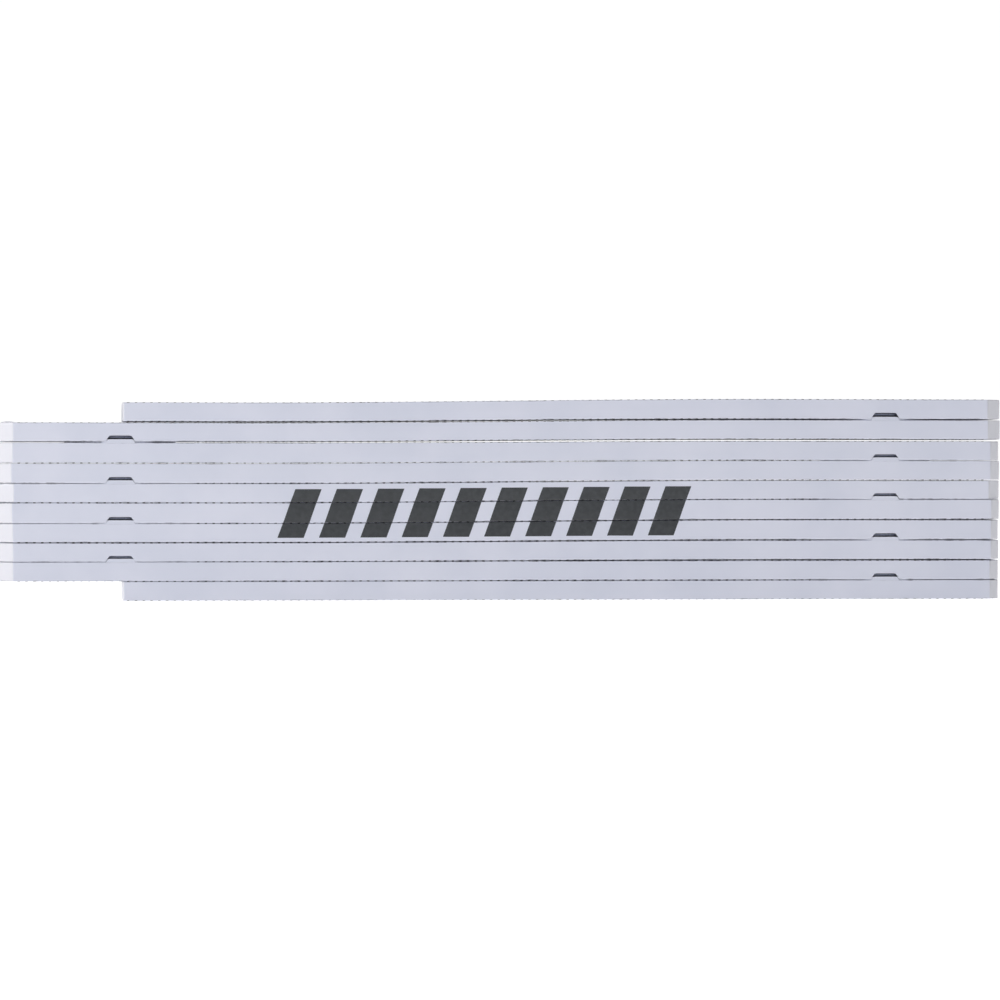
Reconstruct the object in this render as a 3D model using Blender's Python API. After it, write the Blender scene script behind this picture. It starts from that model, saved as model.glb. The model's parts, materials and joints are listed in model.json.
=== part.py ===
"""Folding rule of one metre: ten plastic blades on nine riveted pivots, folded in a stack.

Lengths are in metres. X runs along the blades, Y across them and Z up through the stack.
The origin is on the underside of the stack, in the middle of the folded rule's outline.
Blade 1 lies on top and blade 10 at the bottom. Odd joints are at +X and even ones at -X.
"""
import math

import bmesh
import bpy
from mathutils import Vector

# Driving dimensions of the blades
BLADE_COUNT = 10
PIVOT_SPACING = 0.100  # one decimetre of the scale between two pivots
END_OVERHANG = 0.01565  # from a pivot to the end of its blade
BLADE_WIDTH = 0.014
BLADE_THICKNESS = 0.0025
BLADE_GAP = 0.0001
END_CHAMFER = 0.0016  # corners of a jointed end, seen from above
FREE_END_CHAMFER = 0.0004  # corners of the square zero end
ARRIS_RADIUS = 0.00015

# Driving dimensions of a joint
POCKET_DEPTH = 0.00075
POCKET_MOUTH_WIDTH = 0.0039  # of the opening that the pocket leaves in the blade's long edge
POCKET_CEILING_WIDTH = 0.0027
BOSS_HEIGHT = 0.00043
BOSS_CLEARANCE = 0.0001  # between the boss and the wall of the pocket
BOSS_EDGE_INSET = 0.000005  # keeps the boss off the plane of the blade's long edge
SHANK_RADIUS = 0.0016
SHANK_CLEARANCE = 0.0001
HEAD_RADIUS = 0.0030
HEAD_THICKNESS = 0.0005
HEAD_RECESS = 0.0001  # from the blade's face down to the rivet's head
TAIL_RADIUS = 0.0023
TAIL_THICKNESS = 0.0003
WASHER_THICKNESS = 0.00025
COUNTERBORE_CLEARANCE = 0.0001
SPRING_RADIUS = 0.0066
SPRING_THICKNESS = 0.00018
SPRING_WAVE = 0.00006  # the spring's crests and troughs, above and below its mid-plane
SPRING_LOBES = 4  # one click in each quarter turn

# Facets round a full circle
JOINT_FACETS = 32
RIVET_FACETS = 20

# Values worked out from the dimensions above
HALF_WIDTH = BLADE_WIDTH / 2
PITCH = BLADE_THICKNESS + BLADE_GAP
POCKET_MOUTH_RADIUS = math.hypot(HALF_WIDTH, POCKET_MOUTH_WIDTH / 2)
POCKET_CEILING_RADIUS = math.hypot(HALF_WIDTH, POCKET_CEILING_WIDTH / 2)
POCKET_TAPER = (POCKET_MOUTH_RADIUS - POCKET_CEILING_RADIUS) / POCKET_DEPTH
HOLE_RADIUS = SHANK_RADIUS + SHANK_CLEARANCE
COUNTERBORE_RADIUS = HEAD_RADIUS + COUNTERBORE_CLEARANCE
HEAD_BORE_DEPTH = HEAD_RECESS + HEAD_THICKNESS + COUNTERBORE_CLEARANCE
TAIL_BORE_DEPTH = HEAD_RECESS + TAIL_THICKNESS + WASHER_THICKNESS + 2 * COUNTERBORE_CLEARANCE
CUTTER_MARGIN = 0.0005  # how far a cutter stands out of the blade
WELD_DISTANCE = 0.000001


def clear_scene():
    for item in list(bpy.data.objects):
        bpy.data.objects.remove(item, do_unlink=True)


def make_material(name, colour, roughness, metallic):
    material = bpy.data.materials.new(name)
    material.use_nodes = True
    material.diffuse_color = (*colour, 1.0)
    shader = material.node_tree.nodes["Principled BSDF"]
    shader.inputs["Base Color"].default_value = (*colour, 1.0)
    shader.inputs["Roughness"].default_value = roughness
    shader.inputs["Metallic"].default_value = metallic
    return material


def mesh_from(bm, name):
    """A mesh with outward normals, smooth on its round faces and sharp at its edges."""
    bmesh.ops.recalc_face_normals(bm, faces=bm.faces)
    mesh = bpy.data.meshes.new(name)
    bm.to_mesh(mesh)
    bm.free()
    mesh.shade_smooth()
    mesh.set_sharp_from_angle(angle=math.radians(30))
    return mesh


def turned(outline, facets, ring=False):
    """Turns (radius, height) points round Z into a solid with flat ends, or into a ring."""
    bm = bmesh.new()
    points = [bm.verts.new((radius, 0, height)) for radius, height in outline]
    pairs = zip(points, points[1:] + points[:1]) if ring else zip(points, points[1:])
    edges = [bm.edges.new(pair) for pair in pairs]
    bmesh.ops.spin(
        bm, geom=points + edges, axis=(0, 0, 1), cent=(0, 0, 0),
        steps=facets, angle=math.tau, use_merge=True,
    )
    bmesh.ops.remove_doubles(bm, verts=bm.verts, dist=WELD_DISTANCE)
    bmesh.ops.holes_fill(bm, edges=[edge for edge in bm.edges if edge.is_boundary])
    return bm


def cut_flat(bm, position, normal):
    """Slices the solid at a plane, throws away the side the normal points to and caps it."""
    everything = list(bm.verts) + list(bm.edges) + list(bm.faces)
    cut = bmesh.ops.bisect_plane(
        bm, geom=everything, plane_co=position, plane_no=normal, clear_outer=True
    )
    rim = [item for item in cut["geom_cut"] if isinstance(item, bmesh.types.BMEdge)]
    bmesh.ops.edgeloop_fill(bm, edges=rim)


def side_of(number):
    """+1 for the odd joints at the +X end of the stack and -1 for the even ones."""
    return 1 if number % 2 else -1


def floor_of(blade):
    """Height of the underside of a blade in the folded stack."""
    return (BLADE_COUNT - blade) * PITCH


def pocket_radius(depth):
    return POCKET_MOUTH_RADIUS - POCKET_TAPER * depth


def chamfered_end(x, direction, chamfer):
    """The four corners of one blade end, anticlockwise seen from above."""
    inner = x - direction * chamfer
    flat = HALF_WIDTH - chamfer
    corners = [(inner, -HALF_WIDTH), (x, -flat), (x, flat), (inner, HALF_WIDTH)]
    return corners if direction > 0 else corners[::-1]


def blade_slab(has_pocket, has_boss):
    """The plain bar with its corner chamfers and its rounded long arrises."""
    start = -END_OVERHANG if has_pocket else 0
    end = PIVOT_SPACING + (END_OVERHANG if has_boss else 0)
    outline = chamfered_end(end, 1, END_CHAMFER if has_boss else FREE_END_CHAMFER)
    outline += chamfered_end(start, -1, END_CHAMFER if has_pocket else FREE_END_CHAMFER)
    bm = bmesh.new()
    face = bm.faces.new([bm.verts.new((x, y, 0)) for x, y in outline])
    raised = bmesh.ops.extrude_face_region(bm, geom=[face])["geom"]
    lifted = [item for item in raised if isinstance(item, bmesh.types.BMVert)]
    bmesh.ops.translate(bm, verts=lifted, vec=(0, 0, BLADE_THICKNESS))
    level = [edge for edge in bm.edges if edge.verts[0].co.z == edge.verts[1].co.z]
    bmesh.ops.bevel(
        bm, geom=level, offset=ARRIS_RADIUS, offset_type="OFFSET", segments=2,
        profile=0.5, affect="EDGES", clamp_overlap=True,
    )
    return bm


def boss_solid():
    """The low cone on a blade's upper face, cut flush with the blade's two long edges."""
    root = BLADE_THICKNESS / 2
    top = BLADE_THICKNESS + BOSS_HEIGHT
    mouth = BLADE_THICKNESS + BLADE_GAP
    lower = pocket_radius(root - mouth) - BOSS_CLEARANCE
    upper = pocket_radius(top - mouth) - BOSS_CLEARANCE
    bm = turned([(lower, root), (upper, top)], JOINT_FACETS)
    reach = HALF_WIDTH - BOSS_EDGE_INSET
    for direction in (-1, 1):
        cut_flat(bm, (0, direction * reach, 0), (0, direction, 0))
    return bm


def pocket_cutter():
    """The shallow round pocket that takes the boss of the blade below."""
    outline = [
        (pocket_radius(-CUTTER_MARGIN), -CUTTER_MARGIN), (POCKET_CEILING_RADIUS, POCKET_DEPTH),
    ]
    return turned(outline, JOINT_FACETS)


def head_cutter():
    """Rivet hole, and counterbore for the rivet's head in the upper face."""
    shoulder = BLADE_THICKNESS - HEAD_BORE_DEPTH
    top = BLADE_THICKNESS + CUTTER_MARGIN
    outline = [
        (HOLE_RADIUS, -CUTTER_MARGIN), (HOLE_RADIUS, shoulder),
        (COUNTERBORE_RADIUS, shoulder), (COUNTERBORE_RADIUS, top),
    ]
    return turned(outline, RIVET_FACETS)


def tail_cutter():
    """Rivet hole through the boss, and counterbore for the washer in the underside."""
    top = BLADE_THICKNESS + BOSS_HEIGHT + CUTTER_MARGIN
    outline = [
        (COUNTERBORE_RADIUS, -CUTTER_MARGIN), (COUNTERBORE_RADIUS, TAIL_BORE_DEPTH),
        (HOLE_RADIUS, TAIL_BORE_DEPTH), (HOLE_RADIUS, top),
    ]
    return turned(outline, RIVET_FACETS)


def add_boolean(target, tool_bm, operation, x):
    """Adds a Boolean modifier whose tool stands at x along the blade."""
    tool = bpy.data.objects.new("tool", mesh_from(tool_bm, "tool"))
    tool.location = (x, 0, 0)
    tool.hide_render = True
    tool.display_type = "WIRE"
    bpy.context.collection.objects.link(tool)
    modifier = target.modifiers.new(operation.title(), "BOOLEAN")
    modifier.operation = operation
    modifier.solver = "EXACT"
    modifier.object = tool
    return tool


def blade_mesh(name, has_pocket, has_boss):
    """One blade, with x from its own hinge axis and z from its underside."""
    slab = bpy.data.objects.new("slab", mesh_from(blade_slab(has_pocket, has_boss), "slab"))
    bpy.context.collection.objects.link(slab)
    tools = []
    if has_boss:
        tools.append(add_boolean(slab, boss_solid(), "UNION", PIVOT_SPACING))
        tools.append(add_boolean(slab, tail_cutter(), "DIFFERENCE", PIVOT_SPACING))
    if has_pocket:
        tools.append(add_boolean(slab, pocket_cutter(), "DIFFERENCE", 0))
        tools.append(add_boolean(slab, head_cutter(), "DIFFERENCE", 0))
    graph = bpy.context.evaluated_depsgraph_get()
    bm = bmesh.new()
    bm.from_mesh(slab.evaluated_get(graph).to_mesh())
    bmesh.ops.remove_doubles(bm, verts=bm.verts, dist=WELD_DISTANCE)
    mesh = mesh_from(bm, name)
    for helper in [slab, *tools]:
        bpy.data.objects.remove(helper, do_unlink=True)
    return mesh


def rivet_mesh():
    """Flat head, shank and spread tail, with z from the upper blade's underside."""
    head_top = BLADE_THICKNESS - HEAD_RECESS
    head_base = head_top - HEAD_THICKNESS
    tail_base = -PITCH + HEAD_RECESS
    tail_top = tail_base + TAIL_THICKNESS
    outline = [
        (TAIL_RADIUS, tail_base), (TAIL_RADIUS, tail_top), (SHANK_RADIUS, tail_top),
        (SHANK_RADIUS, head_base), (HEAD_RADIUS, head_base), (HEAD_RADIUS, head_top),
    ]
    return mesh_from(turned(outline, RIVET_FACETS), "rivet")


def washer_mesh():
    """The ring that the rivet's tail is spread over, in the lower blade's underside."""
    base = -PITCH + HEAD_RECESS + TAIL_THICKNESS + COUNTERBORE_CLEARANCE
    top = base + WASHER_THICKNESS
    outline = [(HOLE_RADIUS, base), (HEAD_RADIUS, base), (HEAD_RADIUS, top), (HOLE_RADIUS, top)]
    return mesh_from(turned(outline, RIVET_FACETS, ring=True), "washer")


def spring_mesh():
    """A thin waved ring in the slot between the boss and the ceiling of the pocket."""
    middle = (BOSS_HEIGHT - BLADE_GAP + POCKET_DEPTH) / 2
    base = middle - SPRING_THICKNESS / 2
    top = middle + SPRING_THICKNESS / 2
    outline = [(HOLE_RADIUS, base), (SPRING_RADIUS, base), (SPRING_RADIUS, top), (HOLE_RADIUS, top)]
    bm = turned(outline, JOINT_FACETS, ring=True)
    for vert in bm.verts:
        turn = math.atan2(vert.co.y, vert.co.x)
        vert.co.z += SPRING_WAVE * math.cos(SPRING_LOBES * turn)
    bmesh.ops.triangulate(bm, faces=bm.faces)
    return mesh_from(bm, "spring")


def add_links():
    """One empty for each blade, on its hinge axis, and each parented to the blade below."""
    links = {}
    for blade in range(BLADE_COUNT, 0, -1):
        link = bpy.data.objects.new(f"link_{blade:02d}", None)
        link.empty_display_size = PITCH
        place = Vector((side_of(blade) * PIVOT_SPACING / 2, 0, floor_of(blade)))
        if blade < BLADE_COUNT:
            link.parent = links[blade + 1]
            below = Vector((side_of(blade + 1) * PIVOT_SPACING / 2, 0, floor_of(blade + 1)))
            place -= below
        link.location = place
        bpy.context.collection.objects.link(link)
        links[blade] = link
    return links


def add_piece(name, mesh, material, link, offset=(0, 0, 0), turn=0):
    piece = bpy.data.objects.new(name, mesh)
    if not mesh.materials:
        mesh.materials.append(material)
    piece.parent = link
    piece.location = offset
    piece.rotation_euler = (0, 0, turn)
    bpy.context.collection.objects.link(piece)
    return piece


def add_blades(links, material):
    top = blade_mesh("top_blade", has_pocket=True, has_boss=False)
    middle = blade_mesh("middle_blade", has_pocket=True, has_boss=True)
    bottom = blade_mesh("bottom_blade", has_pocket=False, has_boss=True)
    for blade in range(1, BLADE_COUNT + 1):
        mesh = {1: top, BLADE_COUNT: bottom}.get(blade, middle)
        turn = math.pi if side_of(blade) > 0 else 0
        add_piece(f"blade_{blade:02d}", mesh, material, links[blade], turn=turn)


def add_joints(links, rivet_material, washer_material, spring_material):
    """The hardware of each joint, which stays with the lower of its two blades."""
    rivet = rivet_mesh()
    washer = washer_mesh()
    spring = spring_mesh()
    for joint in range(1, BLADE_COUNT):
        lower = links[joint + 1]
        offset = (side_of(joint) * PIVOT_SPACING, 0, PITCH)
        add_piece(f"rivet_{joint:02d}", rivet, rivet_material, lower, offset)
        add_piece(f"washer_{joint:02d}", washer, washer_material, lower, offset)
        add_piece(f"detent_spring_{joint:02d}", spring, spring_material, lower, offset)


def main():
    clear_scene()
    plastic = make_material("white_plastic", (0.62, 0.65, 0.76), 0.38, 0.0)
    rivet_steel = make_material("rivet_steel", (0.58, 0.58, 0.60), 0.30, 1.0)
    washer_steel = make_material("washer_steel", (0.50, 0.50, 0.52), 0.38, 1.0)
    spring_steel = make_material("spring_steel", (0.28, 0.29, 0.33), 0.42, 1.0)
    links = add_links()
    add_blades(links, plastic)
    add_joints(links, rivet_steel, washer_steel, spring_steel)


main()
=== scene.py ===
import json
import math

import bmesh
import bpy
from mathutils import Matrix, Quaternion, Vector
from mathutils.noise import noise


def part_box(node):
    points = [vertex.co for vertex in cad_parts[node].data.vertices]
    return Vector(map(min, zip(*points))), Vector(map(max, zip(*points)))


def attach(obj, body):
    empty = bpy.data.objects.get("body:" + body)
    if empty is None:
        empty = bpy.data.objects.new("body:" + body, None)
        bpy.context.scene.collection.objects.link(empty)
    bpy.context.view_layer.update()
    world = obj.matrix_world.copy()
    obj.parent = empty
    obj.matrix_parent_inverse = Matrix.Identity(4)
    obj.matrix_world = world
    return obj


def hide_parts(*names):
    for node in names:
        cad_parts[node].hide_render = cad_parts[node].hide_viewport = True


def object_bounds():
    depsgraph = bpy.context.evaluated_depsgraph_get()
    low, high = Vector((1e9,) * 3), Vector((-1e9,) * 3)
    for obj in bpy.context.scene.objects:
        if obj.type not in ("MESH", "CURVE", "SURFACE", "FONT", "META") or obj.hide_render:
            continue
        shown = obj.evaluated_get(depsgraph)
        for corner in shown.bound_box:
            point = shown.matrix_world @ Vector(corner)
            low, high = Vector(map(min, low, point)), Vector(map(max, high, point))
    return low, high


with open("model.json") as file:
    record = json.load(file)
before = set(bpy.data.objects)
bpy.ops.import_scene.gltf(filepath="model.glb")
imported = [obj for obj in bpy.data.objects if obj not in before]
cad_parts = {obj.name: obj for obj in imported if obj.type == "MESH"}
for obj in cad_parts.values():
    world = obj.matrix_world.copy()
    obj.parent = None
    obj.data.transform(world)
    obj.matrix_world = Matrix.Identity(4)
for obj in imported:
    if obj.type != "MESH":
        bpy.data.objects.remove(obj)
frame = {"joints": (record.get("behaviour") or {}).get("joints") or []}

# folding rule: ten moulded blades in a zigzag, their snap pivots, and the printing on them
# lengths in the dictionaries are millimetres unless a note says otherwise

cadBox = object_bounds()
mm = 0.001

pivotAt = {int(joint["name"].split("_")[1]): Vector(joint["pos_m"]) for joint in frame["joints"]}
bladeCount = len(pivotAt) + 1
blades = range(1, bladeCount + 1)
bladeBox = {blade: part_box(f"blade_{blade:02d}") for blade in blades}
thickness = bladeBox[1][1].z - bladeBox[1][0].z  # the top blade has no boss, so its box is the plain bar
halfWidth = bladeBox[1][1].y
cadGap = bladeBox[1][0].z - bladeBox[2][0].z - thickness
scaleEnd = bladeBox[bladeCount][0].x  # the square end where the lowest blade starts


def srgb(text):
    # "#rrggbb" to linear colour with alpha
    parts = [int(text[k:k + 2], 16) / 255 for k in (1, 3, 5)]
    return tuple(p / 12.92 if p <= 0.04045 else ((p + 0.055) / 1.055) ** 2.4 for p in parts) + (1.0,)


def addNode(tree, kind, settings=None, links=None):
    # settings go to sockets by name or number, or else to the node's own properties
    node = tree.nodes.new(kind)
    for name, value in (settings or {}).items():
        if isinstance(name, int) or name in node.inputs:
            node.inputs[name].default_value = value
        else:
            setattr(node, name, value)
    for name, (source, output) in (links or {}).items():
        tree.links.new(source.outputs[output], node.inputs[name])
    return node


def startMaterial(name):
    material = bpy.data.materials.new(name)
    material.use_nodes = True
    tree = material.node_tree
    tree.nodes.clear()
    coords = addNode(tree, "ShaderNodeTexCoord")
    return material, tree, coords


def endMaterial(tree, settings, links):
    shader = addNode(tree, "ShaderNodeBsdfPrincipled", settings, links)
    addNode(tree, "ShaderNodeOutputMaterial", {}, {"Surface": (shader, "BSDF")})


# moulded white ABS: a cool white with a soft satin gloss, a little cloudy, darker in patches on the arrises
# and the joints' walls, where the colour paints in dirt and shade, and with painted shade on the cut ends
absLook = {
    # the cut ends' colour is painted shade, a little darker and less blue than the faces; the dark colour
    # is dirt and painted shade in the creases
    "white": "#e7e8f2", "cloud": "#e0e2ed", "endShade": "#e1e0e4", "dirtAndShade": "#55565e",
    "cloudSize": 9.0,
    "grain": 0.35,  # the spark-eroded mould's grain is 0.08 mm, drawn coarser so that it shows
    "dirtAndShadeSize": 0.9, "dirtAndShadePatch": 6.0, "dirtAndShadeLow": 0.12, "dirtAndShadeHigh": 0.75,  # dirt and painted shade in the arrises and the joints' walls, in patches
    "roughLow": 0.34, "roughHigh": 0.50,
}


def mouldedAbs():
    look = absLook
    material, tree, coords = startMaterial("moulded white ABS, satin")
    cloud = addNode(tree, "ShaderNodeTexNoise", {"Scale": 1 / (look["cloudSize"] * mm), "Detail": 3.0},
                    {"Vector": (coords, "Object")})
    cloudRange = addNode(tree, "ShaderNodeMapRange", {"From Min": 0.35, "From Max": 0.65},
                         {"Value": (cloud, "Fac")})
    body = addNode(tree, "ShaderNodeMix",
                   {"data_type": "RGBA", 6: srgb(look["white"]), 7: srgb(look["cloud"])},
                   {0: (cloudRange, "Result")})
    # painted shade: the cut end faces are mixed toward a darker, less blue colour
    endShade = addNode(tree, "ShaderNodeAttribute", {"attribute_name": "endShade"})
    whole = addNode(tree, "ShaderNodeMix", {"data_type": "RGBA", 7: srgb(look["endShade"])},
                    {0: (endShade, "Fac"), 6: (body, 2)})
    # dirt and painted shade: the arrises and the joints' walls are darkened in patches
    crease = addNode(tree, "ShaderNodeAttribute", {"attribute_name": "crease"})
    dirtAndShade = addNode(tree, "ShaderNodeTexNoise", {"Scale": 1 / (look["dirtAndShadeSize"] * mm), "Detail": 4.0},
                   {"Vector": (coords, "Object")})
    patch = addNode(tree, "ShaderNodeTexNoise", {"Scale": 1 / (look["dirtAndShadePatch"] * mm), "Detail": 1.0},
                    {"Vector": (coords, "Object")})
    patchRange = addNode(tree, "ShaderNodeMapRange",
                         {"From Min": 0.42, "From Max": 0.62,
                          "To Min": look["dirtAndShadeLow"], "To Max": look["dirtAndShadeHigh"]},
                         {"Value": (patch, "Fac")})
    dirtAndShadeRange = addNode(tree, "ShaderNodeMapRange", {"From Min": 0.38, "From Max": 0.66},
                        {"Value": (dirtAndShade, "Fac"), "To Max": (patchRange, "Result")})
    dirtAndShadeMask = addNode(tree, "ShaderNodeMath", {"operation": "MULTIPLY"},
                       {0: (dirtAndShadeRange, "Result"), 1: (crease, "Fac")})
    colour = addNode(tree, "ShaderNodeMix", {"data_type": "RGBA", 7: srgb(look["dirtAndShade"])},
                     {0: (dirtAndShadeMask, "Value"), 6: (whole, 2)})
    rough = addNode(tree, "ShaderNodeMapRange",
                    {"From Min": 0.3, "From Max": 0.7,
                     "To Min": look["roughLow"], "To Max": look["roughHigh"]},
                    {"Value": (cloud, "Fac")})
    grain = addNode(tree, "ShaderNodeTexNoise", {"Scale": 1 / (look["grain"] * mm), "Detail": 2.0},
                    {"Vector": (coords, "Object")})
    bump = addNode(tree, "ShaderNodeBump", {"Strength": 0.10, "Distance": 0.02 * mm},
                   {"Height": (grain, "Fac")})
    endMaterial(tree, {"IOR": 1.54}, {
        "Base Color": (colour, 2), "Roughness": (rough, "Result"), "Normal": (bump, "Normal")})
    return material


# screen-printed ink: flat and a little powdery, thinner in places so that it looks soft and not cut out
inkLook = {
    "black": ("#3b3d3e", "#454748"), "red": ("#a8232b", "#b5333a"),
    "mottle": 0.6, "rough": 0.55,
}


def printedInk(name, full, thin):
    look = inkLook
    material, tree, coords = startMaterial(name)
    mottle = addNode(tree, "ShaderNodeTexNoise", {"Scale": 1 / (look["mottle"] * mm), "Detail": 5.0},
                     {"Vector": (coords, "Object")})
    spread = addNode(tree, "ShaderNodeMapRange", {"From Min": 0.35, "From Max": 0.7},
                     {"Value": (mottle, "Fac")})
    colour = addNode(tree, "ShaderNodeMix", {"data_type": "RGBA", 6: srgb(full), 7: srgb(thin)},
                     {0: (spread, "Result")})
    bump = addNode(tree, "ShaderNodeBump", {"Strength": 0.15, "Distance": 0.01 * mm},
                   {"Height": (mottle, "Fac")})
    endMaterial(tree, {"IOR": 1.5, "Roughness": look["rough"]}, {
        "Base Color": (colour, 2), "Normal": (bump, "Normal")})
    return material


# zinc-plated and tempered steels: bright but slightly cloudy plating, with the fine marks of the tool on it
steelLook = {
    "rivet": {"light": "#cfd0d3", "dark": "#a9abb0", "rough": (0.24, 0.40), "grit": 0.25},
    "washer": {"light": "#c2c3c6", "dark": "#999ba0", "rough": (0.32, 0.48), "grit": 0.20},
    # the spring's grey-blue is painted shade: set to the grey of the shade that fills the slot where the
    # spring shows
    "spring": {"light": "#878a98", "dark": "#6b6f7d", "rough": (0.36, 0.52), "grit": 0.30},
}


def platedSteel(name, look):
    material, tree, coords = startMaterial(name)
    grit = addNode(tree, "ShaderNodeTexNoise", {"Scale": 1 / (look["grit"] * mm), "Detail": 4.0},
                   {"Vector": (coords, "Object")})
    spread = addNode(tree, "ShaderNodeMapRange", {"From Min": 0.35, "From Max": 0.65},
                     {"Value": (grit, "Fac")})
    colour = addNode(tree, "ShaderNodeMix",
                     {"data_type": "RGBA", 6: srgb(look["light"]), 7: srgb(look["dark"])},
                     {0: (spread, "Result")})
    rough = addNode(tree, "ShaderNodeMapRange",
                    {"To Min": look["rough"][0], "To Max": look["rough"][1]}, {"Value": (grit, "Fac")})
    bump = addNode(tree, "ShaderNodeBump", {"Strength": 0.12, "Distance": 0.01 * mm},
                   {"Height": (grit, "Fac")})
    endMaterial(tree, {"Metallic": 1.0}, {
        "Base Color": (colour, 2), "Roughness": (rough, "Result"), "Normal": (bump, "Normal")})
    return material


absWhite = mouldedAbs()
inkBlack = printedInk("screen-printed black ink", *inkLook["black"])
inkRed = printedInk("screen-printed red ink", *inkLook["red"])
rivetZinc = platedSteel("zinc-plated steel, cold-headed", steelLook["rivet"])
washerZinc = platedSteel("zinc-plated steel, stamped", steelLook["washer"])
# the spring's colour is painted shade, the grey of the slot's shade
springSlotShade = platedSteel("spring steel, painted slot shade", steelLook["spring"])
print("materials made")


# the stack never closes quite evenly: it is pressed tighter at the -x end and fans open at the +x end
seamLook = {
    "seams": {  # under each blade: the seam's rise above its even place and its gap, at -x and at +x
        0: ((-0.345, 0.300), (0, 0)),  # the top of the stack
        1: ((-0.315, 0.210), (0.185, 0.160)), 2: ((-0.300, 0.085), (0.155, 0.260)),
        3: ((-0.430, 0.035), (0.070, 0.060)), 4: ((-0.430, 0.045), (0.060, 0.095)),
        5: ((-0.325, 0.145), (0.050, 0.060)), 6: ((-0.390, 0.080), (0.045, 0.100)),
        7: ((-0.270, 0.020), (0.090, 0.110)), 8: ((-0.140, 0.000), (0.050, 0.140)),
        9: ((-0.060, -0.020), (0.045, 0.080)),
        10: ((0, 0), (0, 0)),  # the bottom of the stack, flat on the table
    },
    "leastGap": 0.035,
    "straightFrom": 36.0,  # from here out to its ends a blade is straight, so it turns freely on its pivots
    "cut": 2.0,  # between the cuts across a blade that let it bend
    "wave": 0.035, "waveRun": 7.0,  # the faces are a little wavy, so the seams open and close along the run
    "swell": {1: 0.02, 2: 0.045},  # these seams gape in mid run as well
}


def seamEdge(seam, x, side):
    # rise of the blade face above the seam (side 1) or below it (side -1) over its place in the CAD
    look = seamLook
    (riseLow, riseHigh), (gapLow, gapHigh) = look["seams"][seam]
    t = min(max((x / (look["straightFrom"] * mm) + 1) / 2, 0), 1)
    t = t * t * (3 - 2 * t)
    rise = (riseLow + (riseHigh - riseLow) * t) * mm
    if seam in (0, bladeCount):
        return rise
    wave = noise(Vector((x / (look["waveRun"] * mm), 4.3 * seam, 2.6))) * 4 * t * (1 - t)
    swell = look["swell"].get(seam, 0) * 4 * t * (1 - t)
    gap = max(gapLow + (gapHigh - gapLow) * t + look["wave"] * wave + swell, look["leastGap"])
    return rise + side * (gap * mm - cadGap) / 2


def placeZ(blade, x, z):
    # height in the stack of a point z above a blade's underside
    low, high = seamEdge(blade, x, 1), seamEdge(blade - 1, x, -1)
    return bladeBox[blade][0].z + z + low + (high - low) * min(z / thickness, 1)


def meshFrom(bm, name, sharpAngle=30):
    bmesh.ops.recalc_face_normals(bm, faces=bm.faces)
    mesh = bpy.data.meshes.new(name)
    bm.to_mesh(mesh)
    bm.free()
    mesh.shade_smooth()
    mesh.set_sharp_from_angle(angle=math.radians(sharpAngle))
    return mesh


def addPiece(name, mesh, material, body, location=(0, 0, 0)):
    piece = bpy.data.objects.new(name, mesh)
    piece.location = location
    bpy.context.collection.objects.link(piece)
    mesh.materials.clear()
    mesh.materials.append(material)
    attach(piece, body)
    return piece


def lathe(profile, steps, ring=False):
    # turns (radius, height) in metres round z, as a solid with flat ends or as a ring
    bm = bmesh.new()
    turns = [math.tau * k / steps for k in range(steps)]
    loops = [[bm.verts.new((r * math.cos(a), r * math.sin(a), z)) for a in turns] for r, z in profile]
    for low, high in zip(loops, loops[1:] + (loops[:1] if ring else [])):
        for k in range(steps):
            bm.faces.new((low[k], low[(k + 1) % steps], high[(k + 1) % steps], high[k]))
    if not ring:
        bm.faces.new(loops[0])
        bm.faces.new(loops[-1])
    return bm


bladeLook = {
    "arris": 0.10, "arrisSteps": 4, "sharpAngle": 35,
    # the blades are cropped by hand: corner cuts at -x and at +x, and how far the +x end falls short
    "cutLow": (1.85, 1.88, 1.80, 1.65, 1.94, 1.74, 1.85, 1.88, 1.87, 1.85),
    "cutHigh": (2.05, 2.05, 1.35, 1.50, 1.75, 1.30, 1.20, 1.30, 1.45, 1.40),
    "shortHigh": (-0.14, -0.19, 0.16, 0.01, 0.00, 0.08, 0.23, 0.13, 0.15, 0.17),
    "shortZero": 0.28,  # the square zero ends are worn back
    "cutBlend": 0.5, "endBlend": 1.1, "squareCorner": 0.3, "cornerSteps": 6,  # the corners' roundings
    "pocketDepth": 0.78, "mouth": 3.85, "ceiling": 2.72,  # the opening that a pocket leaves in an edge
    "bossHeight": 0.43, "bossPlay": 0.05, "bossInset": 0.005, "bossEase": 0.04,
    "bossShift": 0.018,  # toward +x, so the slot shows wider on one flank
    "jointSteps": 192,
    "hole": 1.7, "bore": 3.1, "headBore": 0.7, "tailBore": 0.85, "boreSteps": 64,
    "cutterStand": 0.5,  # how far a cutter stands out of the blade
    "weld": 0.001,
    "creased": (0.05, 0.98),  # dirt and painted shade sit in faces that lean this much: the arrises and the joints' walls
    "endShadeReach": 2.5, "endShadeFacing": 0.3,  # a cut face that takes the painted end shade is this near to an end and faces along x
}


def roundedPlan(corners):
    # (x, y, radius) corners, anticlockwise, to a list of points with their outward normals
    steps = bladeLook["cornerSteps"]
    plan = []
    for k, (x, y, radius) in enumerate(corners):
        before, after = corners[k - 1], corners[(k + 1) % len(corners)]
        inward = Vector((x - before[0], y - before[1])).normalized()
        onward = Vector((after[0] - x, after[1] - y)).normalized()
        turn = inward.angle(onward)
        normal = Vector((inward.y, -inward.x))
        centre = Vector((x, y)) - inward * radius * math.tan(turn / 2) - normal * radius
        start = math.atan2(normal.y, normal.x)
        for step in range(steps + 1):
            angle = start + turn * step / steps
            out = Vector((math.cos(angle), math.sin(angle)))
            plan.append((centre + out * radius, out))
    return plan


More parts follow.
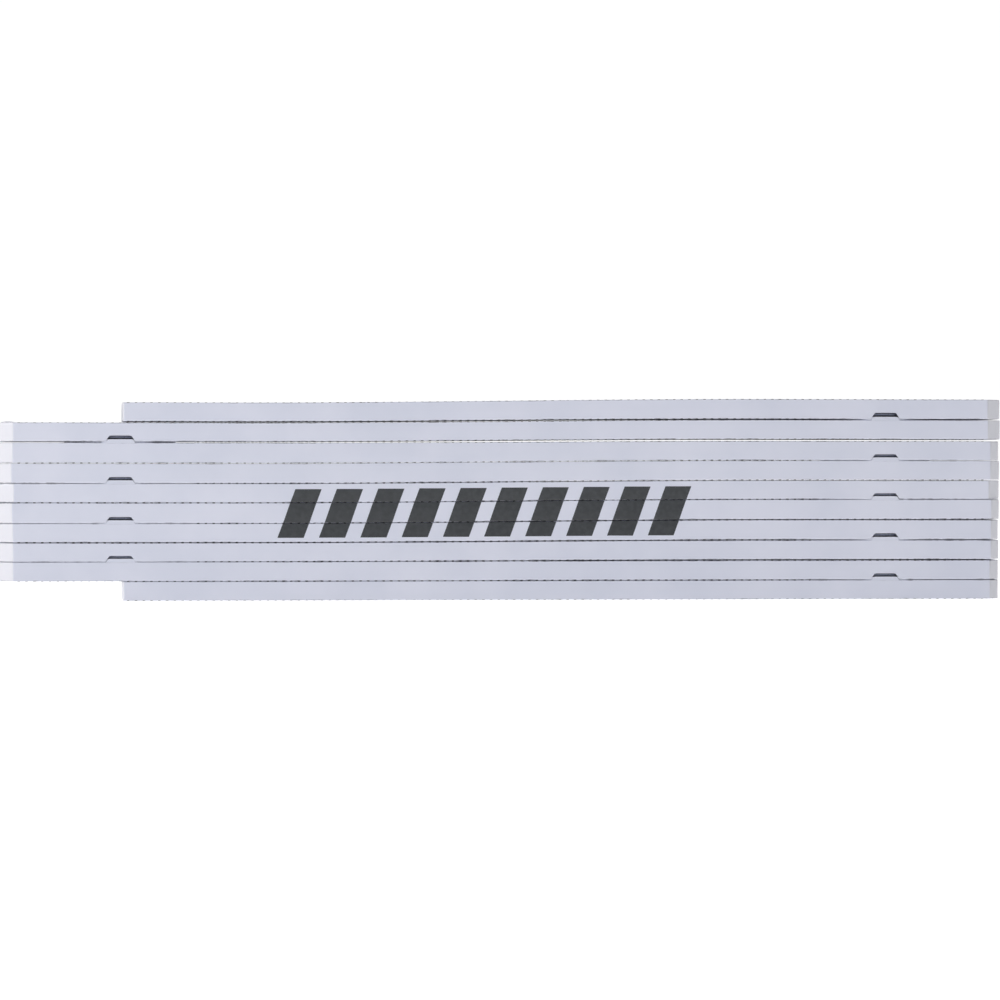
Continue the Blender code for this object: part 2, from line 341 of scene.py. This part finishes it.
def endCorners(x, direction, jointed, cut):
    if jointed:
        inner, outer = bladeLook["cutBlend"] * mm, bladeLook["endBlend"] * mm
        found = [(x - direction * cut, -halfWidth, inner), (x, cut - halfWidth, outer),
                 (x, halfWidth - cut, outer), (x - direction * cut, halfWidth, inner)]
    else:
        radius = bladeLook["squareCorner"] * mm
        found = [(x, -halfWidth, radius), (x, halfWidth, radius)]
    return found if direction > 0 else found[::-1]


def bladeBar(blade):
    # the plain bar, with z from its underside and every arris rounded
    look = bladeLook
    low, high = bladeBox[blade]
    jointedAt = [pivotAt[k].x for k in (blade - 1, blade) if k in pivotAt]
    corners = []
    for direction, x in ((1, high.x - look["shortHigh"][blade - 1] * mm), (-1, low.x)):
        jointed = any(at * direction > 0 for at in jointedAt)
        if not jointed:
            x -= direction * look["shortZero"] * mm
        cut = look["cutHigh" if direction > 0 else "cutLow"][blade - 1] * mm
        corners += endCorners(x, direction, jointed, cut)
    plan = roundedPlan(corners)
    arris, steps = look["arris"] * mm, look["arrisSteps"]
    turns = [math.radians(90) * k / steps for k in range(steps + 1)]
    layers = [(arris * (1 - math.sin(a)), arris * (1 - math.cos(a))) for a in turns]
    layers += [(inset, thickness - z) for inset, z in layers[::-1]]
    bm = bmesh.new()
    loops = [[bm.verts.new((p.x - out.x * inset, p.y - out.y * inset, z)) for p, out in plan]
             for inset, z in layers]
    count = len(plan)
    for lower, upper in zip(loops, loops[1:]):
        for k in range(count):
            bm.faces.new((lower[k], lower[(k + 1) % count], upper[(k + 1) % count], upper[k]))
    bm.faces.new(loops[0])
    bm.faces.new(loops[-1])
    return bm


mouthRadius = math.hypot(halfWidth, bladeLook["mouth"] / 2 * mm)
ceilingRadius = math.hypot(halfWidth, bladeLook["ceiling"] / 2 * mm)


def pocketRadius(depth):
    return mouthRadius - (mouthRadius - ceilingRadius) * depth / (bladeLook["pocketDepth"] * mm)


def bossShape():
    look = bladeLook
    root, top = thickness / 2, thickness + look["bossHeight"] * mm
    ease, play = look["bossEase"] * mm, look["bossPlay"] * mm
    seam = thickness + cadGap
    bm = lathe([(pocketRadius(root - seam) - play, root),
                (pocketRadius(top - ease - seam) - play, top - ease),
                (pocketRadius(top - seam) - play - ease, top)], look["jointSteps"])
    bmesh.ops.translate(bm, verts=bm.verts, vec=(look["bossShift"] * mm, 0, 0))
    reach = halfWidth - look["bossInset"] * mm
    for direction in (-1, 1):
        everything = list(bm.verts) + list(bm.edges) + list(bm.faces)
        cut = bmesh.ops.bisect_plane(bm, geom=everything, plane_co=(0, direction * reach, 0),
                                     plane_no=(0, direction, 0), clear_outer=True)
        rim = [item for item in cut["geom_cut"] if isinstance(item, bmesh.types.BMEdge)]
        bmesh.ops.edgeloop_fill(bm, edges=rim)
    return bm


def pocketShape():
    look = bladeLook
    depth, ease, below = look["pocketDepth"] * mm, look["bossEase"] * mm, -look["cutterStand"] * mm
    return lathe([(pocketRadius(below), below), (pocketRadius(depth - ease), depth - ease),
                  (ceilingRadius - ease, depth)], look["jointSteps"])


def headBoreShape():
    look = bladeLook
    hole, bore, stand = look["hole"] * mm, look["bore"] * mm, look["cutterStand"] * mm
    floor, top = thickness - look["headBore"] * mm, thickness + stand
    return lathe([(hole, -stand), (hole, floor), (bore, floor), (bore, top)], look["boreSteps"])


def tailBoreShape():
    look = bladeLook
    hole, bore, stand = look["hole"] * mm, look["bore"] * mm, look["cutterStand"] * mm
    ceiling, top = look["tailBore"] * mm, thickness + (look["bossHeight"] + look["cutterStand"]) * mm
    return lathe([(bore, -stand), (bore, ceiling), (hole, ceiling), (hole, top)], look["boreSteps"])


# a bit of torn flash that was left along one cropped corner
burrLook = {
    "blade": 2, "at": (-64.5, -6.2), "turn": -45.0,
    "size": (1.2, 0.22, 0.13),  # half its length, width and height
    "rough": 0.25, "roughRun": 0.5,
    "peak": 0.8, "peakFrom": 0.4,  # it stands highest where it meets the long edge
}


def burrShape():
    look = burrLook
    length, width, height = look["size"]
    bm = bmesh.new()
    bmesh.ops.create_uvsphere(bm, u_segments=24, v_segments=12, radius=mm)
    for vert in bm.verts:
        x, y, z = vert.co
        rough = 1 + look["rough"] * noise(vert.co / (look["roughRun"] * mm))
        peak = 1 + look["peak"] * max(x / mm - look["peakFrom"], 0)
        vert.co = Vector((x * length, y * width * rough, z * height * rough * peak))
    bmesh.ops.rotate(bm, verts=bm.verts, matrix=Matrix.Rotation(math.radians(look["turn"]), 3, "Z"))
    bmesh.ops.translate(bm, verts=bm.verts, vec=(0, look["at"][1] * mm, thickness))
    return bm


def carve(target, bm, operation, x):
    tool = bpy.data.objects.new("carving tool", meshFrom(bm, "carving tool"))
    tool.location = (x, 0, 0)
    bpy.context.collection.objects.link(tool)
    modifier = target.modifiers.new(operation.title(), "BOOLEAN")
    modifier.operation = operation
    modifier.solver = "EXACT"
    modifier.object = tool
    return tool


def markFaces(bm, blade):
    # for the plastic's dirt and painted shade: the rounded arrises and joint walls; for the painted shade
    # of the ends: their cut faces
    look = bladeLook
    low, high = bladeBox[blade]
    crease = bm.faces.layers.float.new("crease")
    endShade = bm.faces.layers.float.new("endShade")
    for face in bm.faces:
        face[crease] = 1.0 if look["creased"][0] < abs(face.normal.z) < look["creased"][1] else 0.0
        x = face.calc_center_median().x
        atEnd = min(x - low.x, high.x - x) < look["endShadeReach"] * mm
        face[endShade] = 1.0 if atEnd and abs(face.normal.x) > look["endShadeFacing"] else 0.0


def bladeMesh(blade):
    bar = bpy.data.objects.new("bar", meshFrom(bladeBar(blade), "bar"))
    bpy.context.collection.objects.link(bar)
    tools = []
    if blade - 1 in pivotAt:
        tools.append(carve(bar, bossShape(), "UNION", pivotAt[blade - 1].x))
        tools.append(carve(bar, tailBoreShape(), "DIFFERENCE", pivotAt[blade - 1].x))
    if blade in pivotAt:
        tools.append(carve(bar, pocketShape(), "DIFFERENCE", pivotAt[blade].x))
        tools.append(carve(bar, headBoreShape(), "DIFFERENCE", pivotAt[blade].x))
    if blade == burrLook["blade"]:
        tools.append(carve(bar, burrShape(), "UNION", burrLook["at"][0] * mm))
    bm = bmesh.new()
    bm.from_mesh(bar.evaluated_get(bpy.context.evaluated_depsgraph_get()).to_mesh())
    for helper in [bar, *tools]:
        bpy.data.objects.remove(helper, do_unlink=True)
    bmesh.ops.remove_doubles(bm, verts=bm.verts, dist=bladeLook["weld"] * mm)
    reach = seamLook["straightFrom"]
    for k in range(int(2 * reach / seamLook["cut"]) + 1):
        x = (k * seamLook["cut"] - reach) * mm
        bmesh.ops.bisect_plane(bm, geom=list(bm.verts) + list(bm.edges) + list(bm.faces),
                               plane_co=(x, 0, 0), plane_no=(1, 0, 0))
    bm.normal_update()
    markFaces(bm, blade)
    for vert in bm.verts:
        vert.co.z = placeZ(blade, vert.co.x, vert.co.z)
    return meshFrom(bm, f"blade {blade}", bladeLook["sharpAngle"])


for blade in blades:
    body = f"blade_{blade:02d}"
    piece = addPiece(f"bladeMoulding_{blade:02d}", bladeMesh(blade), absWhite, body)
    piece.modifiers.new("Weighted normals", "WEIGHTED_NORMAL").keep_sharp = True
    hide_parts(body)
print("blades made:", bladeCount)


# each pivot: a cold-headed rivet, the washer under its spread tail and the waved spring that clicks
pivotLook = {
    "shank": 1.6, "headThick": 0.5, "tailThick": 0.3, "rimEase": 0.08, "crown": 0.06,
    "dimple": 0.9, "dimpleDepth": 0.14, "dimpleSteps": 4, "lip": 0.02,  # the dimple's small upright lip
    "tailStep": 0.7,  # how much smaller the tail's radius is than the head's
    "tailDish": 0.10, "tip": 0.05,  # tip is the flat in the middle of each end
    "steps": 96, "washerEase": 0.04,
    "springInner": 1.7, "springThick": 0.24, "springWave": 0.05, "springLobes": 4, "springRings": 5,
}


def rivetShape(radius, tailRadius, height):
    # z from the underside of the tail
    look = pivotLook
    shank, ease, tip, lip = look["shank"] * mm, look["rimEase"] * mm, look["tip"] * mm, look["lip"] * mm
    headBase, tailTop, dish = height - look["headThick"] * mm, look["tailThick"] * mm, look["tailDish"] * mm
    crown, dimple, count = look["crown"] * mm, look["dimple"] * mm, look["dimpleSteps"]
    tail = [(tip, dish), (0.5 * shank, dish), (0.95 * shank, 0), (tailRadius - ease, lip),
            (tailRadius, ease), (tailRadius, tailTop - 0.4 * ease), (tailRadius - 0.4 * ease, tailTop)]
    head = [(radius - 0.4 * ease, headBase), (radius, headBase + 0.4 * ease),
            (radius, height - crown - ease), (radius - 0.3 * ease, height - crown - 0.3 * ease),
            (radius - ease, height - crown), (0.6 * radius, height - 0.2 * crown),
            (1.15 * dimple, height), (dimple, height - lip)]
    for k in range(1, count + 1):
        a = math.radians(90) * k / count
        sink = (look["lip"] + (look["dimpleDepth"] - look["lip"]) * math.sin(a)) * mm
        head.append((max(dimple * math.cos(a), tip), height - sink))
    return lathe([*tail, (shank, tailTop), (shank, headBase), *head], look["steps"])


def washerShape(inner, outer, height):
    ease = pivotLook["washerEase"] * mm
    profile = [(inner, ease), (inner + ease, 0), (outer - ease, 0), (outer, ease), (outer, height - ease),
               (outer - ease, height), (inner + ease, height), (inner, height - ease)]
    return lathe(profile, pivotLook["steps"], ring=True)


def springShape(outer):
    # z from the middle of the spring's thickness, and the waves grow toward its rim
    look = pivotLook
    inner, half, count = look["springInner"] * mm, look["springThick"] * mm / 2, look["springRings"]
    radii = [inner + (outer - inner) * k / count for k in range(count + 1)]
    bm = lathe([(r, -half) for r in radii] + [(r, half) for r in radii[::-1]], look["steps"], ring=True)
    for vert in bm.verts:
        turn = math.atan2(vert.co.y, vert.co.x)
        wave = look["springWave"] * mm * math.cos(look["springLobes"] * turn)
        vert.co.z += wave * (vert.co.xy.length - inner) / (outer - inner)
    return bm


for joint, place in pivotAt.items():
    body, upper, lower = f"blade_{joint + 1:02d}", joint, joint + 1
    low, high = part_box(f"rivet_{joint:02d}")
    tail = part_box(f"washer_{joint:02d}")
    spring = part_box(f"detent_spring_{joint:02d}")
    radius = (high.x - low.x) / 2
    recess = bladeBox[upper][0].z + thickness - high.z
    foot = placeZ(lower, place.x, 0) + recess
    head = placeZ(upper, place.x, thickness) - recess
    tailRadius = radius - pivotLook["tailStep"] * mm
    rivet = addPiece(f"rivetTurned_{joint:02d}",
                     meshFrom(rivetShape(radius, tailRadius, head - foot), "rivet"),
                     rivetZinc, body, (place.x, 0, foot))
    washer = addPiece(f"washerPressed_{joint:02d}",
                      meshFrom(washerShape(pivotLook["springInner"] * mm, (tail[1].x - tail[0].x) / 2,
                                           tail[1].z - tail[0].z), "washer"),
                      washerZinc, body, (place.x, 0, foot + tail[0].z - low.z))
    middle = (placeZ(upper, place.x, bladeLook["pocketDepth"] * mm)
              + placeZ(lower, place.x, thickness + bladeLook["bossHeight"] * mm)) / 2
    ring = addPiece(f"springWaved_{joint:02d}",
                    meshFrom(springShape((spring[1].x - spring[0].x) / 2), "spring"),
                    springSlotShade, body, (place.x, 0, middle))
    for piece, node, slot in ((rivet, "rivet", "rivet_steel"), (washer, "washer", "washer_steel"),
                              (ring, "detent_spring", "spring_steel")):
        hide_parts(f"{node}_{joint:02d}")
print("pivots made:", len(pivotAt))


# the scales: a mark for each millimetre along both edges of both faces, and a figure for each centimetre
scaleLook = {
    "ink": 0.012, "markWidth": 0.30,
    "lengths": {10: 4.6, 5: 3.6, 1: 2.6},  # of a mark on a whole centimetre, on a half and on any other
    "wrap": (24.0, 58.0),  # degrees up the rounded arris where a mark starts, from the blade's long edge
    "wrapRun": 11.0,  # length over which that start wanders
    "figureHeight": 3.9, "figureWeight": 0.012,
    "figureGap": 0.7, "tensGap": 3.5,  # from a number to its mark, and where the mark is a pivot
    "figureSpace": 0.35,
    "coveredRun": 10,  # a joint's faces carry no scale this near to the pivot
    "endRun": 13,  # how far the scale runs on past the blade's own pivot
    "rivetRun": 3.6,  # marks stop at this circle round a rivet
}


def addSolid(bm, stations, half, ink):
    # a strip of ink with its skin proud of the plastic and its back just inside it
    rows = []
    for x, y, z, ny, nz in stations:
        rows.append([bm.verts.new((x + side * half, y + ny * depth, z + nz * depth))
                     for side, depth in ((-1, ink), (1, ink), (1, -ink / 2), (-1, -ink / 2))])
    for one, two in zip(rows, rows[1:]):
        for k in range(4):
            bm.faces.new((one[k], one[(k + 1) % 4], two[(k + 1) % 4], two[k]))
    bm.faces.new(rows[0])
    bm.faces.new(rows[-1])


def figureShapes():
    # the ten figures as thin solids one unit high, from Blender's own plain typeface
    shapes = {}
    for figure in "0123456789":
        curve = bpy.data.curves.new("figure", "FONT")
        curve.body = figure
        curve.extrude = 0.5
        curve.offset = scaleLook["figureWeight"]
        curve.resolution_u = 3
        item = bpy.data.objects.new("figure", curve)
        bpy.context.collection.objects.link(item)
        bm = bmesh.new()
        bm.from_mesh(item.evaluated_get(bpy.context.evaluated_depsgraph_get()).to_mesh())
        bpy.data.objects.remove(item, do_unlink=True)
        bmesh.ops.remove_doubles(bm, verts=bm.verts, dist=0.0005)
        left, right = min(v.co.x for v in bm.verts), max(v.co.x for v in bm.verts)
        bottom, top = min(v.co.y for v in bm.verts), max(v.co.y for v in bm.verts)
        size = 1 / (top - bottom)
        bm.verts.index_update()
        points = [((v.co.x - left) * size, (v.co.y - bottom) * size - 0.5, v.co.z > 0) for v in bm.verts]
        faces = [[v.index for v in face.verts] for face in bm.faces]
        shapes[figure] = (points, faces, (right - left) * size)
        bm.free()
    return shapes


figures = figureShapes()


def faceOf(normal):
    return thickness if normal > 0 else 0


def addFigures(bm, text, rightEdge, onward, up, blade, normal):
    # rightEdge is the x where the number ends; onward and up say which way it reads
    look = scaleLook
    height, ink = look["figureHeight"] * mm, look["ink"] * mm
    at = rightEdge
    for figure in text[::-1]:
        points, faces, width = figures[figure]
        at -= onward * width * height
        verts = []
        for across, high, skin in points:
            x = at + onward * across * height
            z = placeZ(blade, x, faceOf(normal)) + normal * (ink if skin else -ink / 2)
            verts.append(bm.verts.new((x, up * high * height, z)))
        for face in faces:
            bm.faces.new([verts[k] for k in face])
        at -= onward * look["figureSpace"] * mm


def markLength(reading, x, rivetX):
    look = scaleLook
    length = next(value for step, value in look["lengths"].items() if reading % step == 0)
    if rivetX is not None:
        off = abs(x - rivetX) / mm
        if off < look["rivetRun"]:
            length = min(length, halfWidth / mm - math.sqrt(look["rivetRun"] ** 2 - off ** 2))
    return length


def addMark(bm, x, edge, length, blade, normal):
    # from some way down the rounded arris, over it and inward across the face
    look, arris = scaleLook, bladeLook["arris"] * mm
    wander = noise(Vector((x / (look["wrapRun"] * mm), 3.7 * blade, 5.1 * edge + 9 * normal)))
    low, high = look["wrap"]
    first = math.radians(low + (high - low) * min(max(0.5 + wander, 0), 1))
    stations = []
    for k in range(3):
        a = first + (math.radians(90) - first) * k / 2
        z = faceOf(normal) - normal * arris * (1 - math.sin(a))
        stations.append((x, edge * (halfWidth - arris + arris * math.cos(a)), placeZ(blade, x, z),
                         edge * math.cos(a), normal * math.sin(a)))
    stations.append((x, edge * (halfWidth - length * mm), placeZ(blade, x, faceOf(normal)), 0, normal))
    addSolid(bm, stations, look["markWidth"] / 2 * mm, look["ink"] * mm)


def printFace(blade, normal, blackInk, redInk):
    # normal +1 is the upper face, read from the top blade, and -1 the underside, read from the lowest one
    look = scaleLook
    ownX = pivotAt[blade].x if blade in pivotAt else scaleEnd
    toward = math.copysign(1, ownX)
    if normal > 0:
        ownReading, onward = 100 * blade, toward
        rivetX = ownX if blade in pivotAt else None
        start = ownReading - 100 + (0 if blade == 1 else look["coveredRun"])
        end = ownReading + (look["endRun"] if blade in pivotAt else 0)
    else:
        ownReading, onward = 100 * (bladeCount - blade), -toward
        rivetX = pivotAt[blade - 1].x if blade - 1 in pivotAt else None
        start = ownReading + (0 if blade == bladeCount else look["coveredRun"])
        end = ownReading + 100 + (look["endRun"] if blade - 1 in pivotAt else 0)
    for reading in range(start, end + 1):
        if reading in (0, 100 * bladeCount):
            continue  # the rule's own ends are the zero and the last mark
        x = ownX + onward * (reading - ownReading) * mm
        for edge in (-1, 1):
            addMark(blackInk, x, edge, markLength(reading, x, rivetX), blade, normal)
    firstNumber = start // 10 + (1 if start % 100 == 0 else 2)  # a joint covers the one before
    for number in range(firstNumber, end // 10 + 1):
        x = ownX + onward * (number * 10 - ownReading) * mm
        tens = number % 10 == 0
        gap = look["tensGap"] if tens and rivetX is not None else look["figureGap"]
        addFigures(redInk if tens else blackInk, str(number), x - onward * gap * mm, onward,
                   onward * normal, blade, normal)


for blade in blades:
    blackInk, redInk = bmesh.new(), bmesh.new()
    for normal in (1, -1):
        printFace(blade, normal, blackInk, redInk)
    body = f"blade_{blade:02d}"
    addPiece(f"scalePrint_{blade:02d}", meshFrom(blackInk, "scale print"), inkBlack, body)
    addPiece(f"tensPrint_{blade:02d}", meshFrom(redInk, "tens print"), inkRed, body)
print("scales printed")


# a plain row of slanted bars is printed across three long edges of the folded stack
barLook = {
    "count": 10, "width": 3.4, "spacing": 5.37, "slant": 20.0,  # slant in degrees off upright
    "left": -29.8, "low": 8.37, "high": 14.75, "ink": 0.012, "wrap": 55.0,
}


def barStations(blade, centre):
    look = barLook
    arris, floor = bladeLook["arris"] * mm, bladeBox[blade][0].z
    low, high = look["low"] * mm - floor, look["high"] * mm - floor
    turns = [math.radians(look["wrap"]) * k / 3 for k in range(4)]
    edges = [arris * (1 - math.sin(a)) for a in turns]
    edges += [thickness - z for z in edges]
    stations = []
    for z in sorted({min(max(z, low), high) for z in edges}):
        up = (max(z - thickness + arris, 0) - max(arris - z, 0)) / arris
        out = math.sqrt(1 - up * up)
        x = centre + (z - (low + high) / 2) * math.tan(math.radians(look["slant"]))
        stations.append((x, -(halfWidth - arris + arris * out), placeZ(blade, x, z), -out, up))
    return stations


def edgeBars(blade):
    look = barLook
    bm = bmesh.new()
    run = (look["high"] - look["low"]) / 2 * math.tan(math.radians(look["slant"]))
    for k in range(look["count"]):
        centre = (look["left"] + run + look["width"] / 2 + k * look["spacing"]) * mm
        addSolid(bm, barStations(blade, centre), look["width"] / 2 * mm, look["ink"] * mm)
    return bm


for blade in blades:
    floor = bladeBox[blade][0].z / mm
    if floor + thickness / mm > barLook["low"] and floor < barLook["high"]:
        addPiece(f"edgeBars_{blade:02d}", meshFrom(edgeBars(blade), "edge bars"), inkBlack,
                 f"blade_{blade:02d}")
print("edge bars printed")


# plain white table, lit through from below, and soft lamps: low on the left, a cool one in front, one above
stageLook = {
    "floor": "#a8a8a8", "floorGlow": 0.90, "speckle": 2.5,
    "floorSize": 6.0,  # metres
    "floorDrop": 0.05,  # the table lies just below the ink on the lowest blade
    "before": (0.125, 0.130, 0.148), "behind": (0.55, 0.56, 0.58),  # the room's light, brighter behind
    "roomTurn": (-0.1, 0.5),  # where on the way from front to back the one passes into the other
    "backdrop": 1.02,  # what the camera sees past the table
    "lamps": {  # place in metres, size in metres, watts, colour
        "left lamp": ((-0.42, -0.17, 0.07), 0.22, 0.93, (0.96, 0.965, 1.0)),
        "front lamp": ((0.10, -1.30, 0.60), 0.70, 0.85, (0.36, 0.53, 1.0)),
        "top lamp": ((0.05, 0.28, 0.85), 0.80, 3.8, (1.0, 1.0, 1.0)),
    },
}


def addTable():
    look = stageLook
    floorMaterial, tree, coords = startMaterial("white table, matt laminate")
    speckle = addNode(tree, "ShaderNodeTexNoise", {"Scale": 1 / (look["speckle"] * mm), "Detail": 2.0},
                      {"Vector": (coords, "Object")})
    bump = addNode(tree, "ShaderNodeBump", {"Strength": 0.03, "Distance": 0.02 * mm},
                   {"Height": (speckle, "Fac")})
    endMaterial(tree, {"Base Color": srgb(look["floor"]), "Roughness": 0.8, "Specular IOR Level": 0.1,
                       "Emission Color": (1, 1, 1, 1), "Emission Strength": look["floorGlow"]},
                {"Normal": (bump, "Normal")})
    half, under = look["floorSize"] / 2, -look["floorDrop"] * mm
    corners = [(x * half, y * half, under) for x, y in ((-1, -1), (1, -1), (1, 1), (-1, 1))]
    mesh = bpy.data.meshes.new("table")
    mesh.from_pydata(corners, [], [(0, 1, 2, 3)])
    mesh.materials.append(floorMaterial)
    table = bpy.data.objects.new("table", mesh)
    bpy.context.collection.objects.link(table)


def addLamps():
    target = Vector((0, 0, (cadBox[0][2] + cadBox[1][2]) / 2))
    for name, (place, size, watts, colour) in stageLook["lamps"].items():
        lamp = bpy.data.lights.new(name, "AREA")
        lamp.size = size
        lamp.energy = watts
        lamp.color = colour
        item = bpy.data.objects.new(name, lamp)
        item.location = place
        item.rotation_euler = (target - Vector(place)).to_track_quat("-Z", "Y").to_euler()
        bpy.context.collection.objects.link(item)


def addRoomLight():
    look = stageLook
    world = bpy.data.worlds.new("studio")
    bpy.context.scene.world = world
    world.use_nodes = True
    tree = world.node_tree
    tree.nodes.clear()
    path = addNode(tree, "ShaderNodeLightPath")
    coords = addNode(tree, "ShaderNodeTexCoord")
    split = addNode(tree, "ShaderNodeSeparateXYZ", {}, {0: (coords, "Generated")})
    turn = addNode(tree, "ShaderNodeMapRange",
                   {"interpolation_type": "SMOOTHSTEP",
                    "From Min": look["roomTurn"][0], "From Max": look["roomTurn"][1]},
                   {"Value": (split, "Y")})
    room = addNode(tree, "ShaderNodeMix",
                   {"data_type": "RGBA", 6: (*look["before"], 1), 7: (*look["behind"], 1)},
                   {0: (turn, "Result")})
    dim = addNode(tree, "ShaderNodeBackground", {}, {"Color": (room, 2)})
    bright = addNode(tree, "ShaderNodeBackground", {"Color": (1, 1, 1, 1), "Strength": look["backdrop"]})
    both = addNode(tree, "ShaderNodeMixShader", {},
                   {0: (path, "Is Camera Ray"), 1: (dim, "Background"), 2: (bright, "Background")})
    addNode(tree, "ShaderNodeOutputWorld", {}, {"Surface": (both, "Shader")})


# places in metres, roll in degrees
cameraLook = {
    "place": (-0.0553, -0.524, 0.017), "aim": (-0.00087, -0.007, 0.012985), "roll": 0.05,
    "lens": 143.97, "sensor": 36.0, "clip": (0.01, 20.0),
}


def addCamera():
    camera = bpy.data.cameras.new("camera")
    look = cameraLook
    camera.lens, camera.sensor_width = look["lens"], look["sensor"]
    camera.clip_start, camera.clip_end = look["clip"]
    item = bpy.data.objects.new("camera", camera)
    place = Vector(look["place"])
    item.location = place
    level = (Vector(look["aim"]) - place).to_track_quat("-Z", "Y")
    item.rotation_euler = (level @ Quaternion((0, 0, 1), math.radians(look["roll"]))).to_euler()
    bpy.context.collection.objects.link(item)
    bpy.context.scene.camera = item


addTable()
addLamps()
addRoomLight()
addCamera()
bpy.context.scene.view_settings.view_transform = "Standard"
print("stage, light and camera set")
